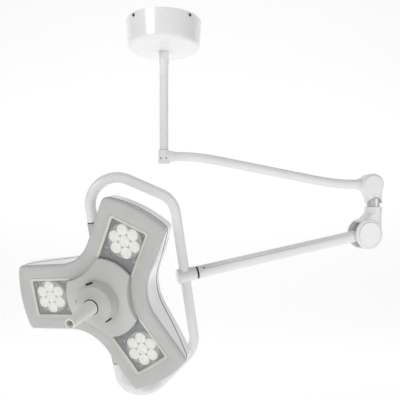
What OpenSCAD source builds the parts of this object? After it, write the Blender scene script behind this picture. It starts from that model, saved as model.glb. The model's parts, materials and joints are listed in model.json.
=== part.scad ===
// Ceiling-mounted surgical light: canopy, down tube, extension arm, elbow,
// counterbalanced spring arm, yoke and three-lobed LED head with a grip.
// Millimetres, +Z up. The origin is the middle of the ceiling plate's top face.

/* [Ceiling mount] */
// Diameter of the ceiling plate
plate_d = 220; // [160:1:260]
// Thickness of the ceiling plate
plate_t = 5; // [4:0.5:8]
// Circle that the ceiling bolts stand on
bolt_pcd = 160; // [120:1:180]
// Hole for one ceiling bolt
bolt_hole_d = 9; // [6:0.5:12]
// Number of ceiling bolts
bolt_count = 4; // [3:1:6]
// Cable hole in the middle of the plate
cable_hole_d = 22; // [12:1:23]
// Gap between the canopy wall and the plate's edge
canopy_gap = 7; // [2:0.5:9]
// Wall of the canopy cover
canopy_wall = 2.5; // [1.5:0.5:4]
// Height of the canopy's straight side
canopy_side = 74; // [70:1:110]
// How much narrower the canopy's radius is at the bottom of its side
canopy_draft = 5; // [0:1:12]
// Fillet round the bottom of the canopy
canopy_fillet = 14; // [6:1:24]
// Depth of the shallow cone under the canopy
canopy_cone = 6; // [2:1:14]
// Shadow gap between the canopy's rim and the ceiling
rim_gap = 2; // [1:0.5:5]

/* [Down tube] */
// Drop from the ceiling to the extension arm's centre line
hub_drop = 429; // [330:1:1100]
// Outside diameter of the down tube
drop_tube_d = 28.6; // [24:0.1:32]
// Wall of the arm tubes
tube_wall = 2.5; // [1.5:0.1:3.5]
// Outside diameter of the sleeve below the canopy
sleeve_d = 31.6; // [31:0.1:36]
// Length of the sleeve below the canopy
sleeve_len = 38; // [20:1:60]

/* [Extension arm] */
// Distance between the arm's two upright hinges
ext_reach = 667.5; // [560:0.5:1100]
// Drop of the S-bend from one end to the other
ext_drop = 89; // [60:1:140]
// Slope of the middle of the S-bend, in degrees
ext_slope = 11.3; // [9:0.1:16]
// Centre-line radius of both bends
ext_bend_r = 680; // [300:10:760]
// Outside diameter of the extension tube
ext_tube_d = 30; // [26:0.5:32]
// Diameter of the hub at the down tube
hub_d = 37; // [36:0.5:44]
// Height of the hub at the down tube
hub_h = 44; // [42:1:60]
// Diameter of the hub's spindle
hub_spindle_d = 16; // [12:0.5:17]

/* [Elbow] */
// Diameter of the upper round housing
upper_d = 67; // [60:1:76]
// Width of the upper round housing
upper_w = 54; // [50:1:60]
// Diameter of the upright barrel under the upper housing
barrel_d = 54; // [50:1:58]
// Diameter of the elbow spindle's shaft
elbow_shaft_d = 20; // [16:0.5:22]
// Diameter of the bare sleeve between the housings
elbow_sleeve_d = 40; // [36:1:44]
// Distance from the upper housing's centre down to the tilt pin
pivot_drop = 157; // [150:1:190]
// Offset of the tilt pin from the upright hinge
pivot_offset = 31; // [20:1:36]
// Diameter of the lower round housing
lower_d = 95; // [90:1:110]
// Width of the lower round housing
lower_w = 54; // [52:1:66]
// Diameter of the tilt pin
tilt_pin_d = 12; // [8:0.5:16]

/* [Spring arm] */
// Distance from the tilt pin to the yoke's cross tube
arm_len = 597; // [520:1:900]
// Outside diameter of the spring arm's tube
arm_tube_d = 36; // [34:0.5:38]
// Wall of the spring arm's tube
arm_tube_wall = 2; // [1.5:0.1:2.5]
// Wire of the counterbalance spring
spring_wire = 4.2; // [3:0.1:5]
// Number of turns of the counterbalance spring
spring_turns = 22; // [12:1:26]

/* [Yoke] */
// Outside diameter of the yoke tube
yoke_tube_d = 29; // [24:0.5:30]
// Distance from the cross tube to the head's tilt axis
yoke_depth = 222; // [212:1:260]
// Half the distance between the yoke's two corners, at the cross tube
yoke_half = 218; // [214:1:260]
// Slope of the yoke's splayed sides, in degrees from the arm's line
yoke_splay = 33; // [28:1:38]
// Centre-line radius of the yoke's bends
yoke_bend_r = 70; // [60:1:74]
// Diameter of the trunnion pins that carry the head
trunnion_d = 14; // [10:0.5:16]

/* [Head] */
// Distance from the head's centre to the tip of a lobe
lobe_len = 266; // [262:1:275]
// Half the width of a lobe
lobe_half = 93; // [90:0.5:96]
// Radius of the curved tip of a lobe
tip_r = 330; // [280:5:420]
// Radius of a lobe's corners
corner_r = 15; // [14:1:24]
// Radius of the hollow between two lobes
notch_r = 113; // [90:1:130]
// Rounding of the front shell's edge
edge_r = 9; // [6:0.5:10]
// Wall of the head's plastic shells
shell_wall = 3; // [2:0.5:3.5]
// Depth of the head behind its front face, at the centre
head_depth = 98; // [92:1:120]
// Depth of the seam behind the front face, at the centre
seam_depth = 86; // [78:1:90]
// Radius of the dished seam
seam_r = 560; // [540:10:640]
// Radius of the domed back
back_r = 740; // [600:10:1200]
// Width of the seam gasket
gasket_t = 2.4; // [1:0.2:4]
// Distance from the head's centre to the middle of a lamp
lamp_r = 169; // [166:1:172]
// Radius of one lamp's lens cluster
cluster_r = 46; // [42:0.5:46.5]
// Inner end of a window, from the head's centre
window_in = 90; // [88:1:94]
// Outer end of a window, from the head's centre
window_out = 214; // [210:1:218]
// Half the clear width of a window
window_half = 48; // [46:0.5:50]
// Width of the bevelled bezel round a window
bezel_w = 9; // [6:0.5:10]
// Radius of the raised centre cover
cover_r = 108; // [106:1:112]
// Radius of the control boss where it meets the cover
boss_r = 54; // [50:1:60]
// Height of the control boss above the front face
boss_top = 50; // [46:1:60]
// Travel of the push buttons
button_travel = 1.5; // [1:0.1:2]
// Length of the grip
grip_len = 92; // [80:1:120]
// Diameter of the grip at its root
grip_root_d = 38; // [34:1:44]
// Diameter of the grip at its free end
grip_tip_d = 25; // [22:1:30]

/* [Rest pose] */
// Angle of the extension arm about the down tube
ext_yaw = 0; // [-170:1:170]
// Angle of the spring arm about the elbow, from straight out
elbow_yaw = -164; // [-170:1:170]
// Angle of the spring arm below the horizontal
arm_pitch = 10.1; // [-20:0.1:45]
// Angle of the yoke about the spring arm
yoke_roll = -6.8; // [-60:0.1:60]
// Angle of the head about the yoke's ends
head_tilt = -35.3; // [-120:0.1:-30]

/* [Hidden] */
$fn = 72;

// Gap between a shaft and its bush
run_gap = 0.05;
// Gap between bodies that slide or turn past each other
move_gap = 0.5;
// Overshoot of a cutting shape
cut = 1;
// Colours
white_paint = "WhiteSmoke";
grey_paint = "Silver";
bare_metal = "LightSteelBlue";
dark_part = "DimGray";

canopy_in = plate_d / 2 + canopy_gap;
canopy_out = canopy_in + canopy_wall;
canopy_low = rim_gap + canopy_side + canopy_fillet;
canopy_end = canopy_low + canopy_cone;
lug_w = 16;
lug_t = canopy_gap - 1.2;
lug_h = 18;
canopy_screw_z = 12;
canopy_screw_d = 4;
canopy_screw_head = 9;
screw_angles = [45, 135, 225, 315];
socket_od = drop_tube_d + 12;
socket_flange_r = 40;
socket_flange_t = 5;
socket_len = 52;
flange_screw_r = 32;
clamp_bolt_d = 8;
clamp_z = plate_t + socket_flange_t + socket_len * 0.6;
hub_top = hub_drop - hub_h / 2 + 2;
hub_bottom = hub_top + hub_h;
spindle_plug = 30;
bush_wall = 2;
hub_pocket_r = hub_spindle_d / 2 + 5;
hub_pocket_h = 9;
hub_lid_t = 3;
spindle_end = -hub_bottom + hub_pocket_h + hub_lid_t - 0.3;
socket_x = hub_d / 2 + 16;
// S-bend of the extension tube
bend_drop = ext_bend_r * (1 - cos(ext_slope));
bend_run = ext_bend_r * sin(ext_slope);
mid_len = (ext_drop - 2 * bend_drop) / sin(ext_slope);
tube_x0 = hub_d / 2 - 4;
tube_x1 = ext_reach - upper_d / 2 + 3;
level_len = (tube_x1 - tube_x0 - 2 * bend_run - mid_len * cos(ext_slope)) / 2;
ext_legs = [[level_len], [-ext_slope, ext_bend_r], [mid_len], [ext_slope, ext_bend_r], [level_len]];
// Heights below the upper housing's centre
barrel_low = 60;
bush_low = 43;
bush_high = 26;
collar_top = 71;
collar_low = 96;
collar_d = elbow_sleeve_d + 14;
arch_r = 24;
upper_cap_r = upper_d / 2 - 5.5;
upper_cap_shift = 8;
nut_h = 9;
nut_r = 14;
// Fork of the lower housing
slot_w = arm_tube_d + 5;
eye_r = 30;
eye_w = slot_w - 3;
slot_r = lower_d / 2 - 7;
slot_up = 60;
slot_down = 75;
lower_cap_r = lower_d / 2 - 9;
cap_t = 4;
// Along the spring arm
tube_start = 40;
hub_back = 33;
hub_front = 22;
seal_w = 5;
tube_end = arm_len - hub_back - seal_w;
arm_in_r = arm_tube_d / 2 - arm_tube_wall;
root_plug_len = 50;
spring_r = arm_in_r - spring_wire / 2 - 2.5;
spring_x0 = tube_start + root_plug_len + 20;
spring_len = spring_turns * (spring_wire + 6);
rod_r = 4;
plug_len = 60;
roll_r = 9;
set_screw_angle = -49;
roll_len = hub_back + seal_w + plug_len - 8;
// Yoke route, one half from the cross tube's middle to the trunnion
corner_turn = 90 - yoke_splay;
end_turn = 90 + yoke_splay;
corner_cut = yoke_bend_r * tan(corner_turn / 2);
side_run = yoke_depth - yoke_bend_r - yoke_bend_r * sin(yoke_splay);
side_len = side_run / cos(yoke_splay) - corner_cut;
end_centre = yoke_half + side_run * tan(yoke_splay) - yoke_bend_r * cos(yoke_splay);
trunnion_face = 199;
yoke_half_legs = [[end_centre - trunnion_face], [-end_turn, yoke_bend_r], [side_len],
    [-corner_turn, yoke_bend_r]];
yoke_legs = concat(yoke_half_legs, [[2 * (yoke_half - corner_cut)]], [for (i = [3 : -1 : 0]) yoke_half_legs[i]]);
washer_t = 2.5;
// Head
pivot_x = 8.5;
pivot_back = 29;
boss_block_r = 16;
tip_centre = lobe_len - tip_r;
fillet_x = tip_centre + sqrt(pow(tip_r - corner_r, 2) - pow(lobe_half - corner_r, 2));
tip_half_angle = asin((lobe_half - corner_r) / (tip_r - corner_r));
notch_centre = (lobe_half + notch_r) / sin(60);
shell_skirt = 12;
band_top = shell_skirt - 2;
chassis_z = -36;
chassis_t = 4;
lamp_plate_z = -20;
lens_top = -7;
lens_r = cluster_r / 3;
pane_z = -3.1;
pane_t = 2.2;
sink_z = chassis_z - 14;
cover_wall = 3;
board_z = -16;
post_r = 7.5;
post_spots = [[216, 0], [96, 60]];
seam_centre = seam_r - seam_depth;
back_centre = back_r - head_depth;
cover_edge = 8;
cover_top = 20;
cover_notch_r = notch_centre - 79;
boss_top_r = boss_r - 4;
grip_z = boss_top + 10;
button_angles = [-76, 118];
button_w = 20;
button_h = 11;
button_z = 32;
lobes = [0, 120, 240];

// ---------- frames of the moving bodies ----------
module on_extension() translate([0, 0, -hub_drop]) rotate([0, 0, ext_yaw]) children();
module at_elbow() on_extension() translate([ext_reach, 0, -ext_drop]) children();
module on_elbow() at_elbow() rotate([0, 0, elbow_yaw]) children();
module on_spring_arm()
    on_elbow() translate([pivot_offset, 0, -pivot_drop]) rotate([0, arm_pitch, 0]) children();
module on_yoke() on_spring_arm() translate([arm_len, 0, 0]) rotate([yoke_roll, 0, 0]) children();
module on_head()
    on_yoke() translate([yoke_depth, 0, 0]) rotate([0, 0, head_tilt]) rotate([-90, 0, 0])
        translate([-pivot_x, 0, pivot_back]) children();
module each_lobe() for (a = lobes) rotate([0, 0, a]) children();

// ---------- shared shapes ----------
function arc(centre, r, a0, a1, n) =
    [for (i = [0 : n]) let (a = a0 + (a1 - a0) * i / n) centre + r * [cos(a), sin(a)]];
function turned(pts, a) = [for (p = pts) [p.x * cos(a) - p.y * sin(a), p.x * sin(a) + p.y * cos(a)]];
function rounded_rect(x0, x1, half, r) = concat(
    arc([x0 + r, -half + r], r, 180, 270, 6), arc([x1 - r, -half + r], r, 270, 360, 6),
    arc([x1 - r, half - r], r, 0, 90, 6), arc([x0 + r, half - r], r, 90, 180, 6));

// Outline of the head, set in by a distance
function trimmed(pts) = [for (i = [1 : len(pts) - 2]) pts[i]];
function lobe_points(inset) = concat(
    arc([fillet_x, -lobe_half + corner_r], corner_r - inset, -90, -tip_half_angle, 5),
    trimmed(arc([tip_centre, 0], tip_r - inset, -tip_half_angle, tip_half_angle, 8)),
    arc([fillet_x, lobe_half - corner_r], corner_r - inset, tip_half_angle, 90, 5),
    arc(notch_centre * [cos(60), sin(60)], notch_r + inset, -90, -150, 14));
function head_points(inset) = [for (a = lobes) each turned(lobe_points(inset), a)];

module ring(r_out, r_in, h)
    difference() {
        cylinder(r = r_out, h = h);
        translate([0, 0, -cut]) cylinder(r = r_in, h = h + 2 * cut);
    }

// Disc about Z with both rims rounded, resting on z = 0
module soft_disc(r, h, e)
    rotate_extrude()
        polygon(concat([[0, 0]], arc([r - e, e], e, -90, 0, 5), arc([r - e, h - e], e, 0, 90, 5), [[0, h]]));

// Disc about Z with only its top rim rounded
module cap_disc(r, h, e)
    rotate_extrude() polygon(concat([[0, 0], [r, 0]], arc([r - e, h - e], e, 0, 90, 5), [[0, h]]));

// Socket-head screw: the head stands on z = 0 and the shank goes down
module screw(head_d, head_h, shank_d, shank_len)
    difference() {
        union() {
            cap_disc(head_d / 2, head_h, head_h * 0.3);
            translate([0, 0, -shank_len]) cylinder(d = shank_d, h = shank_len + head_h / 2);
        }
        translate([0, 0, head_h * 0.4]) cylinder(d = head_d * 0.5, h = head_h, $fn = 6);
    }

// Grub screw: its end is at z = 0 and it goes down
module grub_screw(d, len)
    difference() {
        translate([0, 0, -len]) cylinder(d = d, h = len);
        translate([0, 0, -d * 0.5]) cylinder(d = d * 0.5, h = d, $fn = 6);
    }

// Points and headings along a flat route in XY: a leg is [length] or [turn, radius]
function path(legs, step, i = 0, p = [0, 0], h = 0) =
    i == len(legs) ? [[p.x, p.y, h]] : let (leg = legs[i])
    len(leg) == 1 ? concat([[p.x, p.y, h]], path(legs, step, i + 1, p + leg[0] * [cos(h), sin(h)], h)) :
    let (side = sign(leg[0]), n = ceil(abs(leg[0]) / step), c = p + side * leg[1] * [-sin(h), cos(h)],
        end = h + leg[0])
    concat([for (k = [0 : n - 1]) let (a = h + leg[0] * k / n)
        [c.x + side * leg[1] * sin(a), c.y - side * leg[1] * cos(a), a]],
        path(legs, step, i + 1, c + side * leg[1] * [sin(end), -cos(end)], end));

// Open-ended tube along a route
module pipe(legs, od, wall, step, sides) {
    stops = path(legs, step);
    m = len(stops);
    n = sides;
    points = [for (r = [od / 2, od / 2 - wall]) for (q = stops) for (k = [0 : n - 1]) let (b = 360 * k / n)
        [q.x - r * cos(b) * sin(q.z), q.y + r * cos(b) * cos(q.z), r * sin(b)]];
    walls = [for (j = [0 : m - 2]) for (i = [0 : n - 1]) let (k = (i + 1) % n)
        [j * n + i, (j + 1) * n + i, (j + 1) * n + k, j * n + k]];
    bore = [for (w = walls) [for (i = [3 : -1 : 0]) w[i] + m * n]];
    start = [for (i = [0 : n - 1]) let (k = (i + 1) % n) [i, k, k + m * n, i + m * n]];
    end = [for (w = start) [for (i = [3 : -1 : 0]) w[i] + (m - 1) * n]];
    polyhedron(points, concat(walls, bore, start, end), convexity = 8);
}

// ---------- ceiling group ----------
module ceiling_plate() color(bare_metal)
    difference() {
        union() {
            translate([0, 0, -plate_t]) cylinder(d = plate_d, h = plate_t);
            for (a = screw_angles) rotate([0, 0, a])
                translate([plate_d / 2 - 3, -lug_w / 2, -plate_t - lug_h])
                    cube([lug_t + 3 - canopy_draft * lug_h / canopy_side, lug_w, plate_t + lug_h]);
        }
        translate([0, 0, -plate_t - cut]) cylinder(d = cable_hole_d, h = plate_t + 2 * cut);
        for (i = [0 : bolt_count - 1]) rotate([0, 0, 45 + 360 / bolt_count * i])
            translate([bolt_pcd / 2, 0, -plate_t - cut]) cylinder(d = bolt_hole_d, h = plate_t + 2 * cut);
        for (a = screw_angles) rotate([0, 0, a]) translate([plate_d / 2 - 8, 0, -canopy_screw_z])
            rotate([0, 90, 0]) cylinder(d = canopy_screw_d, h = 20);
    }

module tube_socket() color(bare_metal)
    translate([0, 0, -plate_t - socket_flange_t])
        difference() {
            union() {
                cylinder(r = socket_flange_r, h = socket_flange_t);
                translate([0, 0, -socket_len]) cylinder(d = socket_od, h = socket_len + socket_flange_t);
            }
            translate([0, 0, -socket_len - cut])
                cylinder(d = drop_tube_d + 2 * run_gap, h = socket_len + cut);
            translate([0, 0, -cut]) cylinder(d = cable_hole_d, h = socket_flange_t + 2 * cut);
            for (a = screw_angles) rotate([0, 0, a]) translate([flange_screw_r, 0, -cut])
                cylinder(d = 6, h = socket_flange_t + 2 * cut);
            translate([0, 0, plate_t + socket_flange_t - clamp_z]) rotate([90, 0, 0])
                cylinder(d = clamp_bolt_d + 2 * run_gap, h = 2 * socket_od, center = true);
        }

module socket_screws() color(dark_part)
    for (a = screw_angles) rotate([0, 0, a])
        translate([flange_screw_r, 0, -plate_t - socket_flange_t]) mirror([0, 0, 1])
            screw(10, 5, 5.9, socket_flange_t - 0.1);

module clamp_bolt() color(dark_part)
    translate([0, 0, -clamp_z]) rotate([90, 0, 0]) {
        translate([0, 0, -socket_od / 2 - 2]) cylinder(d = clamp_bolt_d, h = socket_od + 2);
        translate([0, 0, socket_od / 2 + 0.1]) screw(13, 6, clamp_bolt_d, 4);
        translate([0, 0, -socket_od / 2 - 6.6]) cylinder(d = 15, h = 6.5, $fn = 6);
    }

module down_tube() color(white_paint)
    difference() {
        translate([0, 0, -hub_top + 1.6])
            cylinder(d = drop_tube_d, h = hub_top - 1.6 - plate_t - socket_flange_t - 0.2);
        translate([0, 0, -hub_top])
            cylinder(d = drop_tube_d - 2 * tube_wall, h = hub_top);
        translate([0, 0, -clamp_z]) rotate([90, 0, 0])
            cylinder(d = clamp_bolt_d + 2 * run_gap, h = 2 * drop_tube_d, center = true);
    }

module tube_sleeve() color(white_paint)
    translate([0, 0, -canopy_end - sleeve_len])
        difference() {
            soft_disc(sleeve_d / 2, sleeve_len, 0.8);
            translate([0, 0, -cut]) cylinder(d = drop_tube_d + 2 * run_gap, h = sleeve_len + 2 * cut);
        }

// Half-section of the canopy, set in by a distance
function canopy_points(inset) = concat(
    [[0, inset > 0 ? 0 : -rim_gap], [canopy_out - inset, inset > 0 ? 0 : -rim_gap]],
    arc([canopy_out - canopy_draft - canopy_fillet, -rim_gap - canopy_side], canopy_fillet - inset, 0, -84, 8),
    [[sleeve_d / 2, inset - canopy_end], [0, inset - canopy_end]]);
module canopy_cover() color(white_paint)
    difference() {
        rotate_extrude() polygon(canopy_points(0));
        rotate_extrude() polygon(canopy_points(canopy_wall));
        translate([0, 0, -canopy_end - cut]) cylinder(d = drop_tube_d + 1, h = canopy_wall + 2 * cut);
        for (a = screw_angles) rotate([0, 0, a]) translate([canopy_in - 5, 0, -canopy_screw_z])
            rotate([0, 90, 0]) cylinder(d = canopy_screw_d + 0.6, h = 20);
    }

module canopy_screws() color(dark_part)
    for (a = screw_angles) rotate([0, 0, a])
        translate([canopy_out + 0.1, 0, -canopy_screw_z]) rotate([0, 90, 0])
            screw(canopy_screw_head, 2.6, canopy_screw_d - 0.1, canopy_gap + canopy_wall + 6);

supply_size = [46, 88, 34];
module power_supply() color(bare_metal)
    translate([socket_flange_r + 4, -supply_size.y / 2, -plate_t - supply_size.z])
        difference() {
            cube(supply_size);
            for (i = [0 : 7]) translate([supply_size.x * 0.2, 7 + i * 10, -cut])
                cube([supply_size.x * 0.6, 3, 4]);
        }

module terminal_block() color(dark_part)
    translate([-socket_flange_r - 34, -24, -plate_t - 18])
        difference() {
            cube([22, 48, 18]);
            for (i = [0 : 3]) translate([11, 6 + i * 12, -cut]) cylinder(d = 6, h = 8);
        }

// Plug pressed into the tube's lower end, with the shaft that the arm turns on
module hub_spindle() color(bare_metal)
    difference() {
        union() {
            translate([0, 0, -hub_top + 1.6]) cylinder(d = drop_tube_d - 2 * tube_wall, h = spindle_plug);
            translate([0, 0, spindle_end])
                cylinder(d = hub_spindle_d, h = hub_h);
            translate([0, 0, -hub_top + 0.3]) cylinder(d = drop_tube_d, h = 1.3);
        }
        translate([0, 0, spindle_end - cut]) cylinder(d = 5, h = 14 + cut);
    }

module spindle_retainer() color(dark_part)
    translate([0, 0, spindle_end]) {
        translate([0, 0, -2.2]) cylinder(r = hub_pocket_r - 1, h = 2);
        translate([0, 0, -2.3]) mirror([0, 0, 1]) screw(9, 2.6, 4.9, 2);
        translate([0, 0, -1]) cylinder(d = 4.9, h = 12);
    }

// ---------- extension arm ----------
module extension_hub() color(white_paint)
    on_extension()
        difference() {
            union() {
                translate([0, 0, hub_drop - hub_bottom]) soft_disc(hub_d / 2, hub_h, 2);
                rotate([0, 90, 0]) cap_disc(ext_tube_d / 2 + 2.5, socket_x, 1.5);
            }
            translate([0, 0, hub_drop - hub_bottom - cut])
                cylinder(d = hub_spindle_d + 2 * run_gap + 2 * bush_wall, h = hub_h + 2 * cut);
            translate([0, 0, hub_drop - hub_bottom - cut])
                cylinder(r = hub_pocket_r, h = hub_pocket_h + hub_lid_t + cut);
            translate([tube_x0 - 0.2, 0, 0]) rotate([0, 90, 0])
                cylinder(d = ext_tube_d + 2 * run_gap, h = socket_x);
            for (s = [-1, 1]) rotate([0, 0, -90 + s * 28]) translate([0, 0, hub_drop - hub_bottom + 17])
                rotate([0, 90, 0]) cylinder(d = 5, h = hub_d);
        }

module hub_bushes() color("Goldenrod")
    for (z = [-hub_top - 15, -hub_bottom + hub_pocket_h + hub_lid_t + 0.1]) translate([0, 0, z])
        ring(hub_spindle_d / 2 + bush_wall, hub_spindle_d / 2 + run_gap, z < -hub_drop ? 11 : 14.8);

module hub_cap() color(white_paint)
    translate([0, 0, -hub_bottom]) cylinder(r = hub_pocket_r - 0.05, h = hub_lid_t - 0.6);

module brake_screws() color(dark_part)
    for (s = [-1, 1]) rotate([0, 0, -90 + s * 28 + ext_yaw])
        translate([hub_d / 2 - 0.4, 0, -hub_bottom + 17]) rotate([0, 90, 0]) grub_screw(4.9, 6.5);

module extension_tube() color(white_paint)
    on_extension() translate([tube_x0, 0, 0]) rotate([90, 0, 0]) pipe(ext_legs, ext_tube_d, tube_wall, 1.9, 36);

// Round casting at the arm's end; its barrel holds the elbow's upright bushes
module upper_elbow_housing() color(white_paint)
    at_elbow()
        difference() {
            union() {
                translate([-upper_cap_shift, -upper_w / 2, 0]) rotate([-90, 0, 0])
                    soft_disc(upper_d / 2, upper_w, 5);
                translate([0, 0, -barrel_low]) cylinder(d = barrel_d, h = barrel_low - 20);
                hull() {
                    translate([-upper_cap_shift, 0, 0]) rotate([90, 0, 0])
                        cylinder(d = upper_d - 4, h = upper_w - 8, center = true, $fn = 40);
                    translate([0, 0, -barrel_low + 12]) cylinder(d = barrel_d - 1.2, h = 8, $fn = 40);
                }
                translate([-upper_d / 2 - 18, 0, 0]) rotate([0, 90, 0])
                    soft_disc(ext_tube_d / 2 + 3, 40, 2);
            }
            rotate([90, 0, 0]) translate([-upper_cap_shift - 1, 0, 0])
                cylinder(r = upper_cap_r - 6, h = upper_w + cut, center = true);
            translate([0, 0, -bush_low]) cylinder(d = elbow_shaft_d + 2 * run_gap + 6, h = bush_low);
            translate([0, 0, -bush_high]) cylinder(r = nut_r + 1.5, h = bush_high);
            translate([0, 0, -barrel_low - cut])
                cylinder(d = elbow_sleeve_d + 2 * move_gap, h = barrel_low - bush_low + cut);
            translate([0, 0, -barrel_low - 6]) rotate([90, 0, 0])
                cylinder(r = arch_r, h = barrel_d + 2, center = true);
            translate([-upper_d / 2 - 20, 0, 0]) rotate([0, 90, 0])
                cylinder(d = ext_tube_d + 2 * run_gap, h = 28);
        }

module upper_elbow_caps() color(white_paint)
    at_elbow() translate([-upper_cap_shift - 1, 0, -1])
        for (s = [-1, 1]) translate([0, s * (upper_w / 2 + 0.05), 0]) rotate([-90 * s, 0, 0])
            cap_disc(upper_cap_r, cap_t, 2.5);

module elbow_bushes() color("Goldenrod")
    at_elbow() for (z = [-bush_low + 0.1, -(bush_low + bush_high) / 2 + 0.1]) translate([0, 0, z])
        ring(elbow_shaft_d / 2 + 3, elbow_shaft_d / 2 + run_gap, (bush_low - bush_high) / 2 - 0.2);

// ---------- elbow ----------
module elbow_spindle() color(bare_metal)
    on_elbow()
        difference() {
            union() {
                translate([0, 0, -collar_low + 5]) cylinder(d = elbow_sleeve_d - 8, h = 22);
                translate([0, 0, -collar_top]) cylinder(d = elbow_sleeve_d, h = collar_top - bush_low - 1);
                translate([0, 0, -collar_top]) cylinder(d = elbow_shaft_d, h = collar_top - bush_high + nut_h + 3);
            }
            translate([0, 0, -collar_low]) cylinder(d = 9, h = collar_low + 20);
        }

module spindle_nut() color(dark_part)
    on_elbow() translate([0, 0, -bush_high + 0.4])
        difference() {
            cylinder(r = nut_r, h = nut_h, $fn = 6);
            translate([0, 0, -cut]) cylinder(d = elbow_shaft_d + 2 * run_gap, h = nut_h + 2 * cut);
        }

// Collar, neck and fork in one casting
module lower_elbow_housing() color(white_paint)
    on_elbow()
        difference() {
            union() {
                translate([0, 0, -collar_low]) soft_disc(collar_d / 2, collar_low - collar_top, 3);
                hull() {
                    translate([0, 0, -collar_low + 4]) cylinder(d = collar_d - 4, h = 4, $fn = 40);
                    translate([pivot_offset - 4, -lower_w / 2 + 4, -pivot_drop]) rotate([-90, 0, 0])
                        cylinder(r = lower_d / 2 - 6, h = lower_w - 8, $fn = 48);
                }
                translate([pivot_offset, -lower_w / 2, -pivot_drop]) rotate([-90, 0, 0])
                    soft_disc(lower_d / 2, lower_w, 5);
            }
            translate([0, 0, -collar_low + 4.9])
                cylinder(d = elbow_sleeve_d - 8 + 2 * run_gap, h = collar_low);
            translate([pivot_offset, 0, -pivot_drop]) {
                rotate([90, 0, 0]) cylinder(r = slot_r, h = slot_w, center = true);
                rotate([90, 0, 0]) linear_extrude(slot_w, center = true)
                    polygon([[0, 0], for (a = [-slot_down, -25, 20, slot_up]) 2 * lower_d * [cos(a), sin(a)]]);
                rotate([90, 0, 0])
                    cylinder(d = tilt_pin_d + 2 * run_gap, h = lower_w + 2 * cut, center = true);
            }
        }

module lower_elbow_caps() color(white_paint)
    on_elbow() translate([pivot_offset, 0, -pivot_drop])
        for (s = [-1, 1]) translate([0, s * (lower_w / 2 + 0.05), 0]) rotate([-90 * s, 0, 0])
            cap_disc(lower_cap_r, cap_t, 2.5);

module tilt_pin() color(bare_metal)
    on_elbow() translate([pivot_offset, 0, -pivot_drop]) rotate([90, 0, 0])
        cylinder(d = tilt_pin_d, h = lower_w - 0.4, center = true);

module tilt_washers() color("Goldenrod")
    on_elbow() translate([pivot_offset, 0, -pivot_drop])
        for (s = [-1, 1]) translate([0, s * (slot_w / 2 - 0.55), 0]) rotate([90, 0, 0])
            translate([0, 0, -0.5]) ring(eye_r - 4, tilt_pin_d / 2 + 0.1, 1);

// ---------- spring arm ----------
module arm_root() color(bare_metal)
    on_spring_arm()
        difference() {
            union() {
                rotate([90, 0, 0]) cylinder(r = eye_r, h = eye_w, center = true);
                rotate([0, 90, 0]) cylinder(r = arm_in_r - 0.1, h = tube_start + root_plug_len);
            }
            rotate([90, 0, 0]) cylinder(r = tilt_pin_d / 2 + 2.5, h = eye_w + 2 * cut, center = true);
            translate([eye_r + 6, 0, 0]) rotate([0, 90, 0]) cylinder(r = rod_r + 4, h = 90);
        }

module root_bush() color("Goldenrod")
    on_spring_arm() rotate([90, 0, 0]) translate([0, 0, -eye_w / 2])
        ring(tilt_pin_d / 2 + 2.5, tilt_pin_d / 2 + run_gap, eye_w);

module spring_tube() color(white_paint)
    on_spring_arm()
        difference() {
            translate([tube_start, 0, 0]) rotate([0, 90, 0])
                cylinder(d = arm_tube_d, h = tube_end - tube_start);
            translate([tube_start - cut, 0, 0]) rotate([0, 90, 0])
                cylinder(r = arm_in_r, h = tube_end - tube_start + 2 * cut);
            translate([tube_end - 17, 0, 0]) rotate([set_screw_angle, 0, 0]) cylinder(d = 5, h = arm_tube_d);
        }

// Coil of round wire, swept along X
module counterbalance_spring() color(dark_part)
    on_spring_arm() {
        steps = 14;
        sides = 6;
        rings = spring_turns * steps;
        points = [for (i = [0 : rings]) let (a = 360 * i / steps, x = spring_x0 + spring_len * i / rings)
            for (k = [0 : sides - 1]) let (b = 360 * k / sides, r = spring_r + spring_wire / 2 * cos(b))
                [x + spring_wire / 2 * sin(b), r * cos(a), r * sin(a)]];
        walls = [for (i = [0 : rings - 1]) for (k = [0 : sides - 1]) let (n = (k + 1) % sides)
            [i * sides + k, i * sides + n, (i + 1) * sides + n, (i + 1) * sides + k]];
        ends = [[for (k = [0 : sides - 1]) sides - 1 - k], [for (k = [0 : sides - 1]) rings * sides + k]];
        polyhedron(points, concat(walls, ends));
    }

module tension_rod() color(bare_metal)
    on_spring_arm() translate([eye_r + 8, 0, 0]) rotate([0, 90, 0]) {
        cylinder(r = rod_r, h = spring_x0 + spring_len + 26 - eye_r);
        cylinder(r = rod_r + 2.5, h = 6);
        translate([0, 0, spring_x0 + spring_len + spring_wire / 2 + 0.6 - eye_r])
            cylinder(r = 9, h = 7, $fn = 6);
    }

module spring_seats() color(bare_metal)
    on_spring_arm()
        for (x = [spring_x0 - spring_wire / 2 - 8.2, spring_x0 + spring_len + spring_wire / 2 + 0.2])
            translate([x, 0, 0]) rotate([0, 90, 0]) ring(arm_in_r - 0.3, rod_r + 0.1, 8);

module front_plug() color(bare_metal)
    on_spring_arm()
        difference() {
            translate([tube_end - plug_len, 0, 0]) rotate([0, 90, 0]) cylinder(r = arm_in_r - 0.1, h = plug_len);
            translate([tube_end - plug_len - cut, 0, 0]) rotate([0, 90, 0])
                cylinder(r = roll_r + run_gap, h = plug_len + 2 * cut);
            translate([tube_end - 17, 0, 0]) rotate([set_screw_angle, 0, 0]) cylinder(d = 5, h = arm_tube_d);
        }

module arm_set_screw() color(dark_part)
    on_spring_arm() translate([tube_end - 17, 0, 0]) rotate([set_screw_angle, 0, 0])
        translate([0, 0, arm_tube_d / 2 - 0.6]) grub_screw(4.9, 7.5);

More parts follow.
